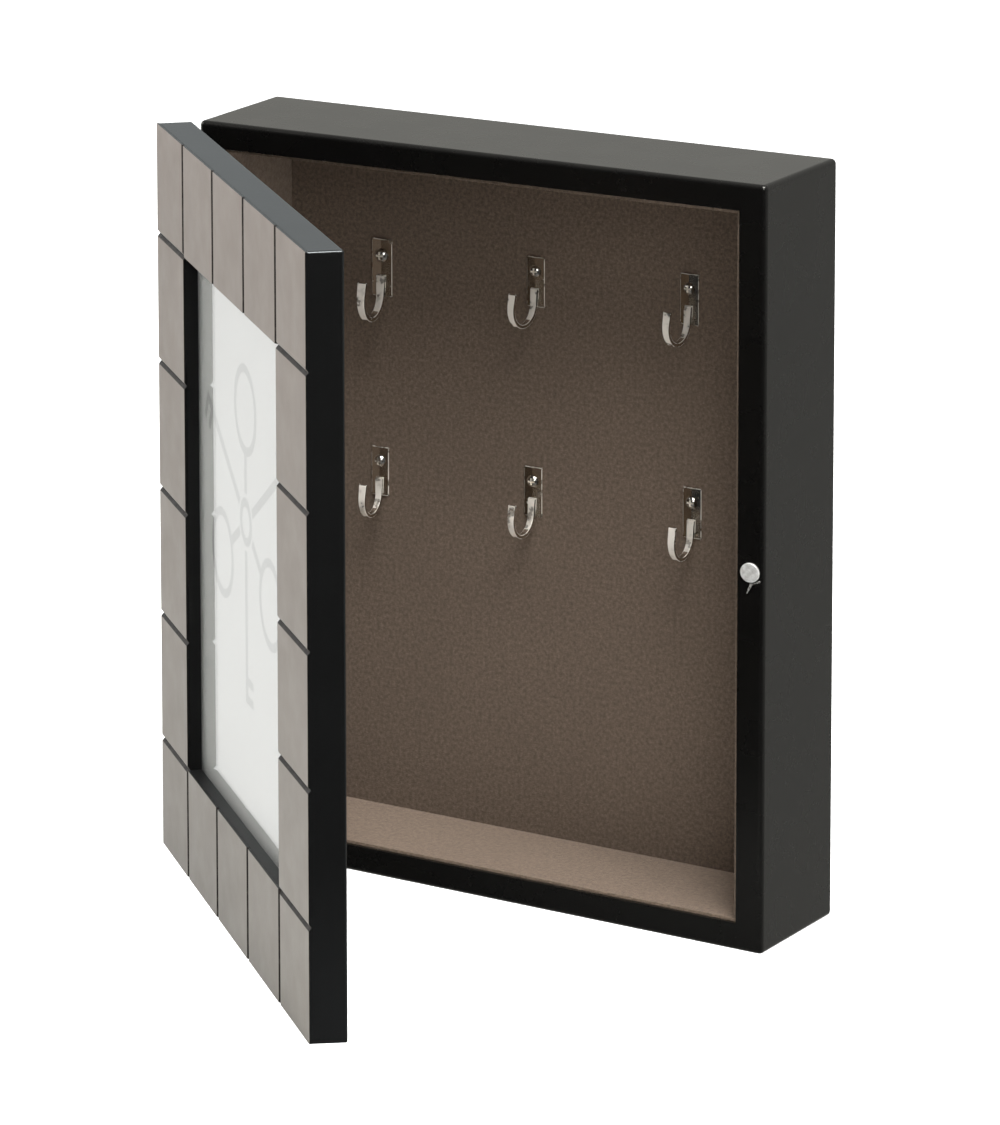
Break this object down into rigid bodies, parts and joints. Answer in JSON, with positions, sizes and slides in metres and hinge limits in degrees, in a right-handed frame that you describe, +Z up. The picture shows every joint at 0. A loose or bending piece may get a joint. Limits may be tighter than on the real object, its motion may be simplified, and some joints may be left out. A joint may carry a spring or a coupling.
{
  "type": "key cabinet",
  "caption": "Wall-mounted key cabinet: a lined black box with small J hooks, closed by a hinged, magnet-held door with a tiled frame around a glazed picture window.",
  "frame": {"origin": "centre of the wall face, the flat back of the back board", "axes": "+X to the right seen from the front, +Y into the wall, +Z up. At rest the door stands 46.5 degrees open."},
  "size_m": [0.2098, 0.2058, 0.25],
  "materials": {
    "case_lacquer": "black satin lacquer on medium density board",
    "door_lacquer": "black satin lacquer on medium density board",
    "tile_face": "greige satin lacquer face with black bevels",
    "back_board": "dark stained medium density board, raw",
    "lining_card": "brown flocked card",
    "hook_nickel": "polished nickel plate",
    "screw_nickel": "polished nickel plate",
    "magnet_nickel": "bright nickel plate",
    "hinge_steel": "nickel-plated steel strip",
    "plated_fixings": "nickel-plated steel",
    "hanger_steel": "zinc-plated steel",
    "button_steel": "zinc-plated steel",
    "window_glass": "clear float glass",
    "insert_paper": "matt white card, pale grey print",
    "pad_cardboard": "brown corrugated card",
    "backing_hardboard": "hardboard, smooth face"
  },
  "bodies": {
    "case": {"back_lining": "lining_card", "back_panel": "back_board", "back_panel_brads": "plated_fixings", "bottom_panel": "case_lacquer", "case_hinge_screws": "plated_fixings", "case_magnet": "magnet_nickel", "floor_lining": "lining_card", "hanger_screws": "plated_fixings", "hinge_pins": "plated_fixings", "hook_screws": "screw_nickel", "key_hook_lower_left": "hook_nickel", "key_hook_lower_middle": "hook_nickel", "key_hook_lower_right": "hook_nickel", "key_hook_upper_left": "hook_nickel", "key_hook_upper_middle": "hook_nickel", "key_hook_upper_right": "hook_nickel", "left_hanger_plate": "hanger_steel", "left_lining": "lining_card", "left_side_panel": "case_lacquer", "lower_hinge_case_leaf": "hinge_steel", "right_hanger_plate": "hanger_steel", "right_lining": "lining_card", "right_side_panel": "case_lacquer", "top_lining": "lining_card", "top_panel": "case_lacquer", "upper_hinge_case_leaf": "hinge_steel"},
    "door": {"backing_board": "backing_hardboard", "door_frame": "door_lacquer", "door_hinge_screws": "plated_fixings", "door_magnet": "magnet_nickel", "insert_card": "insert_paper", "insert_pad": "pad_cardboard", "lower_hinge_door_leaf": "hinge_steel", "turn_button_screws": "plated_fixings", "upper_hinge_door_leaf": "hinge_steel", "window_glass": "window_glass", "face_tile_bottom_1": "tile_face", "face_tile_bottom_2": "tile_face", "face_tile_bottom_3": "tile_face", "face_tile_bottom_4": "tile_face", "face_tile_bottom_5": "tile_face", "face_tile_left_1": "tile_face", "face_tile_left_2": "tile_face", "face_tile_left_3": "tile_face", "face_tile_left_4": "tile_face", "face_tile_right_1": "tile_face", "face_tile_right_2": "tile_face", "face_tile_right_3": "tile_face", "face_tile_right_4": "tile_face", "face_tile_top_1": "tile_face", "face_tile_top_2": "tile_face", "face_tile_top_3": "tile_face", "face_tile_top_4": "tile_face", "face_tile_top_5": "tile_face"},
    "turn_button_lower_left": {"turn_button_lower_left": "button_steel"},
    "turn_button_lower_right": {"turn_button_lower_right": "button_steel"},
    "turn_button_upper_left": {"turn_button_upper_left": "button_steel"},
    "turn_button_upper_right": {"turn_button_upper_right": "button_steel"}
  },
  "joints": [
    {"name": "door_hinge", "type": "hinge", "parent": "case", "child": "door", "pos_m": [-0.1015, -0.0508, 0], "axis": [0, 0, -1], "range_deg": [-46.5, 133.5]},
    {"name": "turn_button_lower_left_pivot", "type": "hinge", "parent": "door", "child": "turn_button_lower_left", "pos_m": [-0.08074, -0.07384, -0.05], "axis": [0.7254, 0.6884, 0], "range_deg": [-90, 90]},
    {"name": "turn_button_lower_right_pivot", "type": "hinge", "parent": "door", "child": "turn_button_lower_right", "pos_m": [0.01632, -0.17611, -0.05], "axis": [0.7254, 0.6884, 0], "range_deg": [-90, 90]},
    {"name": "turn_button_upper_left_pivot", "type": "hinge", "parent": "door", "child": "turn_button_upper_left", "pos_m": [-0.08074, -0.07384, 0.05], "axis": [0.7254, 0.6884, 0], "range_deg": [-90, 90]},
    {"name": "turn_button_upper_right_pivot", "type": "hinge", "parent": "door", "child": "turn_button_upper_right", "pos_m": [0.01632, -0.17611, 0.05], "axis": [0.7254, 0.6884, 0], "range_deg": [-90, 90]}
  ]
}
